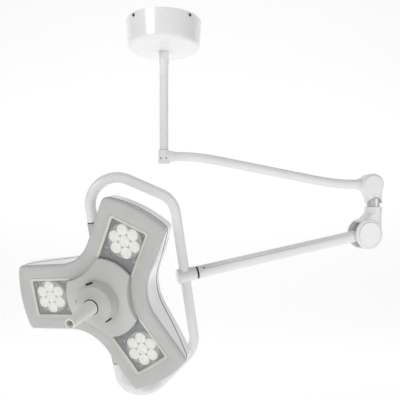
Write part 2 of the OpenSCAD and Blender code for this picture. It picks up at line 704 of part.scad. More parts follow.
module swivel_seal() color(dark_part)
    on_spring_arm() translate([tube_end + 0.2, 0, 0]) rotate([0, 90, 0])
        difference() {
            soft_disc(arm_tube_d / 2 - 0.6, seal_w - 0.9, 1.2);
            translate([0, 0, -cut]) cylinder(r = roll_r + 1, h = seal_w + 2 * cut);
        }

// ---------- yoke ----------
module yoke_hub() color(white_paint)
    on_yoke() translate([-hub_back, 0, 0]) rotate([0, 90, 0])
        difference() {
            rotate_extrude() polygon(concat(
                [[0, 0], [arm_tube_d / 2 - 1, 0], [arm_tube_d / 2 + 1, 2]],
                arc([arm_tube_d / 2, hub_back + hub_front - 3], 3, 0, 90, 6), [[0, hub_back + hub_front]]));
            translate([0, 0, hub_back]) rotate([0, 90, 0])
                cylinder(d = yoke_tube_d + 2 * run_gap, h = 60, center = true);
            translate([0, 0, -cut]) cylinder(r = roll_r + run_gap, h = hub_back);
            translate([0, 0, hub_back + hub_front - 2]) cylinder(r = arm_tube_d / 2 - 3, h = 2 + cut);
            translate([0, 0, hub_back]) cylinder(d = 5, h = hub_front + cut);
        }

module roll_spindle() color(bare_metal)
    on_yoke() translate([-yoke_tube_d / 2 - 0.3, 0, 0]) rotate([0, -90, 0])
        cylinder(r = roll_r, h = roll_len - yoke_tube_d / 2);

module hub_end_cap() color(white_paint)
    on_yoke() translate([hub_front - 1.9, 0, 0]) rotate([0, 90, 0])
        difference() {
            cap_disc(arm_tube_d / 2 - 3.2, 2.6, 1);
            translate([0, 0, 0.6]) cylinder(d = 6, h = 6, $fn = 6);
            for (s = [-1, 1]) translate([0, s * 9.5, 1]) cylinder(d = 3.2, h = 4);
        }

module both_ends() for (s = [0, 1]) mirror([0, 0, s]) children();
module yoke_tube() color(white_paint)
    on_yoke() translate([yoke_depth, 0, -trunnion_face]) rotate([90, 0, 0]) rotate([0, 0, -90])
        pipe(yoke_legs, yoke_tube_d, tube_wall, 9, 32);

module trunnion_pins() color(bare_metal)
    on_yoke() translate([yoke_depth, 0, 0]) both_ends() {
        translate([0, 0, trunnion_face]) cylinder(d = yoke_tube_d - 2 * tube_wall - 0.4, h = 18);
        translate([0, 0, 140]) cylinder(d = trunnion_d, h = trunnion_face - 139);
    }

module friction_washers() color(dark_part)
    on_yoke() translate([yoke_depth, 0, 0]) both_ends()
        translate([0, 0, trunnion_face - washer_t]) ring(yoke_tube_d / 2, trunnion_d / 2 + 0.1, washer_t - 0.1);

// ---------- head: z = 0 is its front face and +Z the way the light goes ----------
module solid_head(inset, z0, z1) translate([0, 0, z0]) linear_extrude(z1 - z0) polygon(head_points(inset));
module seam_ball(r) translate([0, 0, seam_centre]) sphere(r = r, $fn = 180);
module back_ball(r) translate([0, 0, back_centre]) sphere(r = r, $fn = 180);
module at_lamp() each_lobe() translate([lamp_r, 0, 0]) children();
module at_trunnions()
    for (s = [0, 1]) mirror([0, s, 0]) translate([pivot_x, 0, -pivot_back]) rotate([-90, 0, 0]) children();
module window_block(grow, z0, z1)
    translate([0, 0, z0]) linear_extrude(z1 - z0)
        polygon(rounded_rect(window_in - 3, window_out + grow, window_half + grow, 4 + grow / 2));

module head_chassis() color(bare_metal)
    on_head()
        difference() {
            solid_head(shell_wall + 3.5, chassis_z, chassis_z + chassis_t);
            translate([0, 0, chassis_z - cut]) cylinder(r = 28, h = chassis_t + 2 * cut);
            each_lobe() translate([0, 0, chassis_z - cut]) linear_extrude(chassis_t + 2 * cut)
                polygon(rounded_rect(lamp_r - 42, lamp_r + 36, 32, 4));
            at_trunnions() translate([0, 0, 120]) cylinder(r = boss_block_r, h = 90);
            for (spot = post_spots) each_lobe() rotate([0, 0, spot[1]])
                translate([spot[0], 0, chassis_z - cut]) cylinder(d = 4.1, h = chassis_t + 2 * cut);
        }

module trunnion_blocks() color(bare_metal)
    on_head() at_trunnions()
        difference() {
            union() {
                translate([0, 0, 127]) cylinder(r = boss_block_r - 0.5, h = trunnion_face - washer_t - 0.5 - 127);
                translate([-boss_block_r - 8, chassis_z + chassis_t + 0.1 + pivot_back, 128])
                    cube([2 * boss_block_r + 8, 4, 24]);
            }
            cylinder(d = trunnion_d + 2 * run_gap, h = trunnion_face);
        }

// Front blank: a skirt, then thin layers that step in round the edge
edge_step = 15;
module front_blank() {
    solid_head(0, -shell_skirt, -edge_r + edge_r * sin(edge_step));
    for (a = [2 * edge_step : edge_step : 90])
        solid_head(edge_r * (1 - cos(a - edge_step / 2)), -edge_r + edge_r * sin(a - edge_step) - 0.4,
            -edge_r + edge_r * sin(a));
}

module front_shell() color(grey_paint)
    on_head()
        difference() {
            front_blank();
            solid_head(shell_wall + 1, -shell_skirt - cut, -shell_wall - 0.3);
            each_lobe() window_block(bezel_w, -shell_wall - 2, 5);
            translate([0, 0, -shell_wall - 2]) cylinder(r = 30, h = 30);
        }

module side_shell() color(white_paint)
    on_head()
        difference() {
            intersection() {
                solid_head(1, -seam_depth, -shell_skirt - 0.1);
                seam_ball(seam_r - gasket_t / 2);
            }
            solid_head(1 + shell_wall, -seam_depth - cut, 0);
            at_trunnions() translate([0, 0, 120]) cylinder(r = boss_block_r, h = 90);
        }

module seam_gasket() color(dark_part)
    on_head()
        difference() {
            intersection() {
                solid_head(2, -seam_depth - 2, -shell_skirt - 0.2);
                seam_ball(seam_r + gasket_t / 2 - 0.1);
            }
            seam_ball(seam_r - gasket_t / 2 + 0.1);
            solid_head(1 + shell_wall, -seam_depth - 3, 0);
        }

module rear_cover() color(white_paint)
    on_head()
        difference() {
            union() {
                difference() {
                    intersection() {
                        solid_head(1, -head_depth - 2, -shell_skirt - 0.1);
                        back_ball(back_r);
                    }
                    seam_ball(seam_r + gasket_t / 2);
                    intersection() {
                        solid_head(1 + shell_wall, -head_depth - 2, 0);
                        back_ball(back_r - shell_wall);
                    }
                }
                intersection() {
                    for (spot = post_spots) each_lobe() rotate([0, 0, spot[1]])
                        translate([spot[0], 0, -head_depth]) cylinder(r = post_r, h = head_depth + chassis_z - 0.2);
                    back_ball(back_r - shell_wall / 2);
                }
            }
            for (spot = post_spots) each_lobe() rotate([0, 0, spot[1]]) translate([spot[0], 0, 0]) {
                translate([0, 0, -head_depth - cut]) cylinder(d = 5, h = head_depth);
                translate([0, 0, -head_depth - cut])
                    cylinder(d = 10, h = head_depth + cut + post_seat(spot[0]));
            }
        }

// Height of the seat of a rear screw's head
function post_seat(r) = back_centre - sqrt(pow(back_r, 2) - r * r) + 6;
module rear_screws() color(dark_part)
    on_head() for (spot = post_spots) each_lobe() rotate([0, 0, spot[1]])
        translate([spot[0], 0, post_seat(spot[0]) - 0.1]) mirror([0, 0, 1])
            screw(9, 3, 4, post_seat(spot[0]) * -1 + chassis_z + chassis_t);

module heat_sinks() color(bare_metal)
    on_head() each_lobe() {
        translate([0, 0, chassis_z + chassis_t + 0.1]) linear_extrude(lamp_plate_z - chassis_z - chassis_t - 2.3)
            polygon(rounded_rect(window_in + 8, window_out - 6, window_half - 6, 4));
        for (i = [-4 : 4]) translate([lamp_r - 38, i * 6.5 - 1, sink_z])
            cube([70, 2, chassis_z + chassis_t + 0.2 - sink_z]);
    }

module led_plates() color("SlateGray")
    on_head() each_lobe() translate([0, 0, lamp_plate_z - 2]) linear_extrude(2)
        polygon(rounded_rect(window_in - 2, window_out + 3, window_half + 2, 4));

// Seven faceted lens cups in a dark holder
module lens_clusters() color("Ivory")
    on_head() at_lamp() translate([0, 0, lamp_plate_z + 0.1]) {
        difference() {
            cylinder(r = cluster_r + 1.2, h = 9);
            translate([0, 0, 2.5]) cylinder(r = cluster_r - 0.6, h = 9);
        }
        for (i = [0 : 6]) rotate([0, 0, i * 60 + 30])
            translate([i == 6 ? 0 : 2 * lens_r - 0.7, 0, 2]) {
                cylinder(r = lens_r * 0.62, h = 4);
                translate([0, 0, 4]) cylinder(r = lens_r - 0.9, h = lens_top - lamp_plate_z - 6.5);
            }
    }

module window_panes() color("AliceBlue", 0.4)
    on_head() each_lobe() window_block(2.5, pane_z - pane_t, pane_z);

module window_bezels() color("Cornsilk")
    on_head() each_lobe()
        difference() {
            window_block(bezel_w - 0.15, pane_z + 0.1, -0.1);
            hull() {
                window_block(0, pane_z - cut, pane_z + 0.2);
                window_block(bezel_w - 3, 0, 1);
            }
        }

// Half-section of the centre cover, set in by a distance
function cover_points(inset) = concat(
    [[0, inset > 0 ? -cut : 0.1], [cover_r - inset, inset > 0 ? -cut : 0.1]],
    arc([cover_r - 3, cover_edge - 3], 3 - min(inset, 2.5), 0, 78, 5),
    [[boss_r + 8, cover_top - inset], [0, cover_top - inset]]);
module cover_notches(grow) each_lobe() rotate([0, 0, 60])
    translate([notch_centre, 0, -5]) cylinder(r = cover_notch_r + grow, h = 50, $fn = 120);
module centre_cover() color(grey_paint)
    on_head()
        difference() {
            rotate_extrude() polygon(cover_points(0));
            cover_notches(0);
            difference() {
                rotate_extrude() polygon(cover_points(cover_wall));
                cover_notches(cover_wall);
            }
            translate([0, 0, -cut]) cylinder(r = 26, h = 40);
        }

// Drum that carries the buttons and the grip
module button_slot(a, grow, r0, r1)
    rotate([0, 0, a]) translate([r0, 0, button_z]) rotate([90, 0, 90]) linear_extrude(r1 - r0)
        polygon(rounded_rect(-button_w / 2 - grow, button_w / 2 + grow, button_h / 2 + grow, button_h / 2 - 0.5));
module control_boss() color(grey_paint)
    on_head()
        difference() {
            rotate_extrude() polygon(concat([[0, cover_top + 0.1], [boss_r, cover_top + 0.1]],
                arc([boss_top_r - 4, boss_top - 4], 4, 0, 70, 5),
                [[grip_root_d / 2 + 4, grip_z - 2], [grip_root_d / 2 + 2, grip_z - 0.5], [0, grip_z - 0.5]]));
            rotate_extrude() polygon([[0, cover_top - cut], [boss_r - 3, cover_top - cut],
                [boss_top_r - 4, boss_top - 4], [grip_root_d / 2, grip_z - 6], [0, grip_z - 6]]);
            cylinder(r = 8.3, h = 2 * grip_z);
            for (a = button_angles) button_slot(a, 0.4, 40, 60);
        }

module driver_board() color("DarkGreen")
    on_head() {
        translate([0, 0, board_z]) cylinder(r = 62, h = 1.6);
        for (i = [0 : 5]) rotate([0, 0, i * 60 + 15]) translate([36, -6, board_z - 6])
            cube([12, 12, 6.1]);
    }

module grip_spindle() color(bare_metal)
    on_head() {
        translate([0, 0, grip_z - 10]) cylinder(r = 16, h = 3.8);
        translate([0, 0, grip_z - 10]) cylinder(r = 8, h = 62);
    }

module push_button(a)
    on_head()
        union() {
            button_slot(a, 0, boss_r - 9, boss_r - 0.4);
            button_slot(a, 1.5, boss_r - 11, boss_r - 8.4);
        }
module power_button() color(dark_part) push_button(button_angles[0]);
module dimmer_button() color(dark_part) push_button(button_angles[1]);

// Hollow tapered grip that slips over the spindle
module grip() color(white_paint)
    on_head() translate([0, 0, grip_z])
        difference() {
            rotate_extrude() polygon([[0, 0], [grip_root_d / 2 - 1.5, 0], [grip_root_d / 2, 1.5],
                [grip_root_d / 2 - 1, 8], [grip_tip_d / 2 + 0.2, grip_len - 1], [grip_tip_d / 2 - 0.8, grip_len],
                [0, grip_len]]);
            translate([0, 0, -cut]) cylinder(r = 8 + run_gap, h = 54 + cut);
            translate([0, 0, grip_len - 26]) cylinder(r = grip_tip_d / 2 - 3, h = 27);
        }

ceiling_plate();
tube_socket();
socket_screws();
clamp_bolt();
down_tube();
tube_sleeve();
canopy_cover();
canopy_screws();
power_supply();
terminal_block();
hub_spindle();
spindle_retainer();
extension_hub();
hub_bushes();
hub_cap();
brake_screws();
extension_tube();
upper_elbow_housing();
upper_elbow_caps();
elbow_bushes();
elbow_spindle();
spindle_nut();
lower_elbow_housing();
lower_elbow_caps();
tilt_pin();
tilt_washers();
arm_root();
root_bush();
spring_tube();
counterbalance_spring();
tension_rod();
spring_seats();
front_plug();
arm_set_screw();
swivel_seal();
yoke_hub();
roll_spindle();
hub_end_cap();
yoke_tube();
trunnion_pins();
friction_washers();
head_chassis();
trunnion_blocks();
front_shell();
side_shell();
seam_gasket();
rear_cover();
rear_screws();
heat_sinks();
led_plates();
lens_clusters();
window_panes();
window_bezels();
centre_cover();
control_boss();
driver_board();
grip_spindle();
power_button();
dimmer_button();
grip();
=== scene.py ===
import json
import math

import bmesh
import bpy
from mathutils import Matrix, Vector


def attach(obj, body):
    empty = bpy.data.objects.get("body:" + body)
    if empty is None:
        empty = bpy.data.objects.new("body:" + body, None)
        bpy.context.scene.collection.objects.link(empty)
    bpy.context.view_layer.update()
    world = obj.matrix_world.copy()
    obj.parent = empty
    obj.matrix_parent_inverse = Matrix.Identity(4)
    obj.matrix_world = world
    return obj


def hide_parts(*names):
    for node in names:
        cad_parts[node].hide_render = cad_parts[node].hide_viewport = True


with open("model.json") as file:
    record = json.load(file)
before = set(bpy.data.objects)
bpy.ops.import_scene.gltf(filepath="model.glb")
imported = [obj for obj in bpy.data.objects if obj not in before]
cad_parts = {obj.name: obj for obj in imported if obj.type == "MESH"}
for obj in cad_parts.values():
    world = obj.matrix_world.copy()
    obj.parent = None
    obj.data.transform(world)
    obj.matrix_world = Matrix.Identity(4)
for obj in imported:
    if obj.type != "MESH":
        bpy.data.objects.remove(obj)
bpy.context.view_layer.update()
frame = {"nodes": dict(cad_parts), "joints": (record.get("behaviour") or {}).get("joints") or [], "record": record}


nodes = frame["nodes"]
joints = {j["name"]: j for j in frame["joints"]}

# ---------- frames of the moving bodies, from the joints ----------


def frame_of(origin, x, z):
    z = z.normalized()
    y = z.cross(x).normalized()
    x = y.cross(z)
    m = Matrix((x, y, z)).transposed().to_4x4()
    m.translation = origin
    return m


def joint_at(name):
    return Vector(joints[name]["pos_m"]), Vector(joints[name]["axis"])


grip_at, head_z = joint_at("grip_twist")
_, tilt_axis = joint_at("head_tilt")
roll_at, roll_axis = joint_at("yoke_roll")
hub_at, _ = joint_at("extension_swivel")
GRIP_Z = 0.060  # grip spindle joint above the head's front face
HEAD = frame_of(grip_at - head_z * GRIP_Z, (-tilt_axis).cross(head_z), head_z)
YOKE = frame_of(roll_at, roll_axis, tilt_axis)
EXT = Matrix.Translation(hub_at)
CEILING = Matrix.Identity(4)

# ---------- materials ----------


def node_graph(name):
    mat = bpy.data.materials.new(name)
    mat.use_nodes = True
    nt = mat.node_tree
    return mat, nt, nt.nodes["Principled BSDF"]


def add(nt, kind, **inputs):
    n = nt.nodes.new(kind)
    for key, value in inputs.items():
        n.inputs[key.replace("_", " ")].default_value = value
    return n


def finish_surface(name, low, high, rough, metal=0.0, coat=0.0, grain=900.0, bump=0.02, wear=0.08,
                   crease_shade=0.12):
    """Satin or gloss coating: cloudy tone, fine orange peel, uneven gloss, and painted shade darkening the
    creases.
    """
    mat, nt, bsdf = node_graph(name)
    link = nt.links.new
    coord = add(nt, "ShaderNodeTexCoord")
    cloud = add(nt, "ShaderNodeTexNoise", Scale=14.0, Detail=6.0, Roughness=0.6)
    link(coord.outputs["Object"], cloud.inputs["Vector"])
    ramp = add(nt, "ShaderNodeValToRGB")
    ramp.color_ramp.elements[0].position, ramp.color_ramp.elements[1].position = 0.3, 0.7
    ramp.color_ramp.elements[0].color = (*low, 1)
    ramp.color_ramp.elements[1].color = (*high, 1)
    link(cloud.outputs["Fac"], ramp.inputs["Fac"])
    # Painted shade: ambient occlusion darkens the base colour in creases, recesses and between parts.
    crease = add(nt, "ShaderNodeAmbientOcclusion", Distance=0.012)
    crease.samples = 6
    dark = add(nt, "ShaderNodeMapRange", From_Min=0.25, From_Max=0.85, To_Min=1.0 - crease_shade,
               To_Max=1.0)
    link(crease.outputs["AO"], dark.inputs["Value"])
    shade = add(nt, "ShaderNodeVectorMath")
    shade.operation = "SCALE"
    link(ramp.outputs["Color"], shade.inputs[0])
    link(dark.outputs["Result"], shade.inputs["Scale"])
    link(shade.outputs["Vector"], bsdf.inputs["Base Color"])
    smear = add(nt, "ShaderNodeTexNoise", Scale=55.0, Detail=8.0, Roughness=0.7)
    link(coord.outputs["Object"], smear.inputs["Vector"])
    gloss = add(nt, "ShaderNodeMapRange", From_Min=0.3, From_Max=0.75, To_Min=rough - wear,
                To_Max=rough + wear)
    link(smear.outputs["Fac"], gloss.inputs["Value"])
    link(gloss.outputs["Result"], bsdf.inputs["Roughness"])
    peel = add(nt, "ShaderNodeTexNoise", Scale=grain, Detail=3.0, Roughness=0.5)
    link(coord.outputs["Object"], peel.inputs["Vector"])
    raised = add(nt, "ShaderNodeBump", Strength=bump, Distance=0.0005)
    link(peel.outputs["Fac"], raised.inputs["Height"])
    link(raised.outputs["Normal"], bsdf.inputs["Normal"])
    bsdf.inputs["Metallic"].default_value = metal
    bsdf.inputs["Coat Weight"].default_value = coat
    bsdf.inputs["Coat Roughness"].default_value = 0.12
    return mat


def glow_lens(name):
    """Clear lens lit from behind: brightest in its middle, faceted towards the rim."""
    mat, nt, bsdf = node_graph(name)
    link = nt.links.new
    coord = add(nt, "ShaderNodeTexCoord")
    facets = add(nt, "ShaderNodeTexVoronoi", Scale=420.0)
    link(coord.outputs["Object"], facets.inputs["Vector"])
    ramp = add(nt, "ShaderNodeValToRGB")
    ramp.color_ramp.elements[0].position, ramp.color_ramp.elements[1].position = 0.0, 0.7
    ramp.color_ramp.elements[0].color = (0.95, 0.93, 0.86, 1)
    ramp.color_ramp.elements[1].color = (0.62, 0.61, 0.57, 1)
    link(facets.outputs["Distance"], ramp.inputs["Fac"])
    link(ramp.outputs["Color"], bsdf.inputs["Base Color"])
    link(ramp.outputs["Color"], bsdf.inputs["Emission Color"])
    bsdf.inputs["Emission Strength"].default_value = 0.38
    bsdf.inputs["Roughness"].default_value = 0.14
    bsdf.inputs["Coat Weight"].default_value = 0.8
    raised = add(nt, "ShaderNodeBump", Strength=0.25, Distance=0.001)
    link(facets.outputs["Distance"], raised.inputs["Height"])
    link(raised.outputs["Normal"], bsdf.inputs["Normal"])
    return mat


def clear_sheet(name, tint, alpha, rough):
    """Thin clear plastic: see-through face on, milky where it turns away."""
    mat, nt, bsdf = node_graph(name)
    link = nt.links.new
    coord = add(nt, "ShaderNodeTexCoord")
    noise = add(nt, "ShaderNodeTexNoise", Scale=30.0, Detail=5.0)
    link(coord.outputs["Object"], noise.inputs["Vector"])
    haze = add(nt, "ShaderNodeMapRange", From_Min=0.3, From_Max=0.7, To_Min=rough, To_Max=rough + 0.08)
    link(noise.outputs["Fac"], haze.inputs["Value"])
    link(haze.outputs["Result"], bsdf.inputs["Roughness"])
    facing = add(nt, "ShaderNodeLayerWeight", Blend=0.35)
    thick = add(nt, "ShaderNodeMapRange", From_Min=0.0, From_Max=1.0, To_Min=alpha,
                To_Max=min(1.0, alpha + 0.5))
    link(facing.outputs["Facing"], thick.inputs["Value"])
    link(thick.outputs["Result"], bsdf.inputs["Alpha"])
    bsdf.inputs["Base Color"].default_value = (*tint, 1)
    bsdf.inputs["Coat Weight"].default_value = 0.5
    return mat


white = finish_surface("white_paint", (0.84, 0.84, 0.84), (0.89, 0.89, 0.885), 0.34, coat=0.35)
gloss_white = finish_surface("gloss_white", (0.90, 0.90, 0.90), (0.94, 0.94, 0.935),
                             0.24, coat=0.6, grain=500.0)
warm_white = finish_surface("grip_white", (0.80, 0.79, 0.76), (0.86, 0.85, 0.82), 0.38, grain=700.0)
grey = finish_surface("grey_shell", (0.53, 0.53, 0.52), (0.58, 0.58, 0.57),
                      0.5, grain=1600.0, bump=0.06)
pale_grey = finish_surface("pale_grey", (0.56, 0.56, 0.55), (0.61, 0.61, 0.60),
                           0.38, coat=0.2, grain=1200.0, bump=0.04)
steel = finish_surface("steel", (0.5, 0.51, 0.53), (0.62, 0.63, 0.65),
                       0.32, metal=1.0, grain=2500.0, bump=0.05)
casting = finish_surface("casting", (0.5, 0.5, 0.52), (0.62, 0.62, 0.64),
                         0.45, metal=0.9, grain=1400.0, bump=0.1)
bronze = finish_surface("bronze", (0.5, 0.33, 0.14), (0.62, 0.43, 0.2),
                        0.36, metal=1.0, grain=1800.0, bump=0.05)
rubber = finish_surface("rubber", (0.022, 0.022, 0.024), (0.04, 0.04, 0.042),
                        0.62, grain=1300.0, bump=0.15)
dark_steel = finish_surface("dark_steel", (0.08, 0.08, 0.09), (0.15, 0.15, 0.16),
                            0.36, metal=0.8, grain=1900.0)
dark_plastic = finish_surface("dark_plastic", (0.012, 0.013, 0.014), (0.024, 0.026, 0.028),
                              0.42, grain=1500.0, bump=0.1)
plate_blue = finish_surface("lamp_plate", (0.055, 0.085, 0.13), (0.11, 0.15, 0.20),
                            0.3, metal=0.5, grain=800.0)
rim_dark = finish_surface("lens_rim", (0.10, 0.10, 0.10), (0.2, 0.19, 0.18), 0.35, grain=800.0)
cream = finish_surface("bezel", (0.64, 0.63, 0.57), (0.71, 0.70, 0.64), 0.22, coat=0.6, grain=700.0)
board_green = finish_surface("board", (0.02, 0.12, 0.06), (0.03, 0.17, 0.08), 0.4, grain=900.0)
plated = finish_surface("plated_sleeve", (0.62, 0.62, 0.62), (0.74, 0.74, 0.74),
                        0.3, metal=0.35, grain=1500.0)
# Lens holders get a stronger painted shade in their creases and round the lenses.
milky = finish_surface("lens_holder", (0.60, 0.60, 0.58), (0.72, 0.72, 0.69),
                       0.25, coat=0.7, grain=600.0, crease_shade=0.35)
spring_steel = finish_surface("spring_steel", (0.2, 0.2, 0.22), (0.32, 0.32, 0.34),
                              0.35, metal=1.0, grain=1500.0)
lens = glow_lens("lens")
pane = clear_sheet("clear_window", (0.93, 0.95, 0.94), 0.1, 0.04)

LOOKS = {
    "white_paint": white, "white_plastic": gloss_white, "grey_plastic": grey, "pale_grey_plastic": pale_grey,
    "steel": steel, "aluminium": casting, "zinc_casting": casting, "bronze_bush": bronze,
    "black_rubber": rubber, "dark_steel": dark_steel, "dark_plastic": dark_plastic,
    "lamp_plate": plate_blue, "lens": lens, "clear_window": pane, "clear_bezel": cream,
    "board": board_green, "spring_steel": spring_steel,
}
slots = {s["node"]: s["material_slot"] for s in frame["record"]["subparts"]}
for name, obj in nodes.items():
    obj.data.materials.clear()
    obj.data.materials.append(LOOKS[slots[name]])
nodes["grip"].data.materials[0] = warm_white
nodes["elbow_spindle"].data.materials[0] = plated


WELD_GAP = 0.00002


def ease_edges(obj, width, angle=32.0):
    """Welds a CAD node's skin in the modifier stack, breaks its hard edges and smooths the rest."""
    for poly in obj.data.polygons:
        poly.use_smooth = True
    weld = obj.modifiers.new("weld", "WELD")
    weld.merge_threshold = WELD_GAP
    soft = obj.modifiers.new("bevel", "BEVEL")
    soft.limit_method = "ANGLE"
    soft.angle_limit = math.radians(angle)
    soft.width = width
    soft.segments = 2
    soft.use_clamp_overlap = True
    soft.harden_normals = False
    even = obj.modifiers.new("normals", "WEIGHTED_NORMAL")
    even.keep_sharp = False
    even.weight = 80


EDGES = {
    "ceiling_plate": 0.0004, "tube_socket": 0.0006, "down_tube": 0.0003, "upper_elbow_housing": 0.0012,
    "lower_elbow_housing": 0.0014, "elbow_spindle": 0.0005, "extension_hub": 0.0005, "arm_root": 0.0008,
    "spring_tube": 0.0004, "yoke_hub": 0.0006, "hub_end_cap": 0.0002, "canopy_screws": 0.0002,
    "tilt_pin": 0.0004, "trunnion_blocks": 0.0006, "side_shell": 0.0005, "rear_cover": 0.0006,
    "rear_screws": 0.0002, "grip": 0.0003, "control_boss": 0.0003, "arm_set_screw": 0.0002,
    "brake_screws": 0.0002, "power_supply": 0.0004,
}
for name, width in EDGES.items():
    ease_edges(nodes[name], width)

# ---------- mesh tools ----------


def new_piece(name, bm, matrix, body, mat, stands_for=(), smooth=True):
    mesh = bpy.data.meshes.new(name)
    bmesh.ops.recalc_face_normals(bm, faces=bm.faces)
    bm.to_mesh(mesh)
    bm.free()
    mesh.transform(matrix)
    for poly in mesh.polygons:
        poly.use_smooth = smooth
    obj = bpy.data.objects.new(name, mesh)
    bpy.context.scene.collection.objects.link(obj)
    mesh.materials.append(mat)
    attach(obj, body)
    if stands_for:
        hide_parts(*stands_for)
    even = obj.modifiers.new("normals", "WEIGHTED_NORMAL")
    even.keep_sharp = True
    return obj


def loops_to_skin(bm, rings, closed_ring=True, close_path=False):
    """Quads between successive rings of points."""
    verts = [[bm.verts.new(p) for p in ring] for ring in rings]
    pairs = list(zip(verts, verts[1:])) + ([(verts[-1], verts[0])] if close_path else [])
    for a, b in pairs:
        count = len(a)
        for i in range(count if closed_ring else count - 1):
            k = (i + 1) % count
            bm.faces.new((a[i], a[k], b[k], b[i]))
    return verts


def capped_skin(bm, rings):
    """A skin over the rings, closed by a face at each end."""
    verts = loops_to_skin(bm, rings)
    bm.faces.new(verts[0][::-1])
    bm.faces.new(verts[-1])


def lathe(bm, profile, segments=96, centre=(0.0, 0.0)):
    """Closed profile of (radius, height) turned about Z."""
    rings = []
    for step in range(segments):
        a = 2 * math.pi * step / segments
        rings.append([Vector((centre[0] + r * math.cos(a), centre[1] + r * math.sin(a), z))
                      for r, z in profile])
    loops_to_skin(bm, rings, close_path=True)


def arc_pts(cx, cz, r, a0, a1, n):
    """Points on an arc from angle a0 to a1, in degrees."""
    out = []
    for i in range(n + 1):
        a = math.radians(a0 + (a1 - a0) * i / n)
        out.append((cx + r * math.cos(a), cz + r * math.sin(a)))
    return out


def evenly_between(start, stop, parts):
    """The points that split a straight run into equal parts, ends left out."""
    return [(start[0] + (stop[0] - start[0]) * i / parts, start[1] + (stop[1] - start[1]) * i / parts)
            for i in range(1, parts)]


def full_turn(count):
    return [2 * math.pi * k / count for k in range(count)]


def route_points(legs, step):
    """Points and headings of a flat route of straights and bends, in metres."""
    x = y = h = 0.0
    out = [(x, y, h)]
    for leg in legs:
        if len(leg) == 1:
            x, y = x + leg[0] * math.cos(h), y + leg[0] * math.sin(h)
            out.append((x, y, h))
        else:
            turn, radius = math.radians(leg[0]), leg[1]
            side = 1 if turn > 0 else -1
            cx, cy = x - side * radius * math.sin(h), y + side * radius * math.cos(h)
            n = max(2, int(abs(leg[0]) / step))
            for i in range(1, n + 1):
                a = h + turn * i / n
                out.append((cx + side * radius * math.sin(a), cy - side * radius * math.cos(a), a))
            x, y, h = out[-1]
    return out


def tube(bm, stops, radius, wall, sides=64):
    """Hollow round tube along a flat route."""
    outer, inner = [], []
    for x, y, h in stops:
        for r, store in ((radius, outer), (radius - wall, inner)):
            store.append([Vector((x - r * math.cos(b) * math.sin(h),
                                  y + r * math.cos(b) * math.cos(h), r * math.sin(b)))
                          for b in full_turn(sides)])
    loops_to_skin(bm, outer + inner[::-1], close_path=True)


# ---------- head outline ----------
LOBE_TURN = 120
LOBES = (0, LOBE_TURN, 2 * LOBE_TURN)
# Lobe length and half width, then the radii of its tip, corners and the notch beside it
LOBE, HALF, TIP_R, CORNER_R, NOTCH_R = 0.266, 0.093, 0.330, 0.015, 0.113
TIP_C = LOBE - TIP_R
FILLET_X = TIP_C + math.sqrt((TIP_R - CORNER_R) ** 2 - (HALF - CORNER_R) ** 2)
TIP_HALF = math.degrees(math.asin((HALF - CORNER_R) / (TIP_R - CORNER_R)))
NOTCH_C = (HALF + NOTCH_R) / math.sin(math.radians(60))


def turned(x, y, degrees):
    c, s = math.cos(math.radians(degrees)), math.sin(math.radians(degrees))
    return x * c - y * s, x * s + y * c


def outline(inset):
    """The head's three-lobed outline: tip arc, rounded corners, straight sides and notch arcs."""
    lobe = arc_pts(FILLET_X, -HALF + CORNER_R, CORNER_R - inset, -90, -TIP_HALF, 10)
    lobe += arc_pts(TIP_C, 0, TIP_R - inset, -TIP_HALF, TIP_HALF, 28)[1:-1]
    lobe += arc_pts(FILLET_X, HALF - CORNER_R, CORNER_R - inset, TIP_HALF, 90, 10)
    notch_at = turned(NOTCH_C, 0, LOBE_TURN / 2)
    notch = arc_pts(*notch_at, NOTCH_R + inset, -90, -150, 36)
    next_side = turned(FILLET_X, -HALF + inset, LOBE_TURN)
    third = lobe + evenly_between(lobe[-1], notch[0], 8) + notch + evenly_between(notch[-1], next_side, 8)
    return [turned(x, y, turn) for turn in LOBES for x, y in third]


def rounded_rect(x0, x1, half, r, n=8):
    """Rectangle from x0 to x1 and half wide each side of the X axis, with corners of radius r."""
    pts = arc_pts(x0 + r, -half + r, r, 180, 270, n) + arc_pts(x1 - r, -half + r, r, 270, 360, n)
    return pts + arc_pts(x1 - r, half - r, r, 0, 90, n) + arc_pts(x0 + r, half - r, r, 90, 180, n)


def turn_z(degrees):
    return Matrix.Rotation(math.radians(degrees), 4, "Z")


LAMP_R = 0.169  # lamp centre from the head's centre
CLUSTER_R = 0.046
LENS_R = CLUSTER_R / 3

# Front shell: smooth outline, rolled edge, and the windows and hub hole cut through it
EDGE_R, SKIRT = 0.009, 0.012
WINDOW_IN, WINDOW_OUT, WINDOW_HALF, WINDOW_R = 0.087, 0.223, 0.057, 0.0085
HUB_HOLE_R = 0.03
CUT_HEIGHTS = (-0.0075, 0.004)


def shell_ring(inset, z):
    return [Vector((x, y, z)) for x, y in outline(inset)]


bm = bmesh.new()
outer_rings = [shell_ring(0.0, -SKIRT)]
for step in range(0, 91, 9):
    a = math.radians(step)
    outer_rings.append(shell_ring(EDGE_R * (1 - math.cos(a)), EDGE_R * (math.sin(a) - 1)))
skin = loops_to_skin(bm, outer_rings)
bm.faces.new(skin[-1])
INSIDE_STEPS = [(0.004, -SKIRT), (0.004, -0.0075), (0.0062, -0.0042), (0.009, -0.0033)]
inner_skin = loops_to_skin(bm, [shell_ring(i, z) for i, z in INSIDE_STEPS])
bm.faces.new(inner_skin[-1])
count = len(skin[0])
for i in range(count):
    k = (i + 1) % count
    bm.faces.new((skin[0][i], skin[0][k], inner_skin[0][k], inner_skin[0][i]))
front = new_piece("front_shell_skin", bm, HEAD, "head", grey, ["front_shell"])

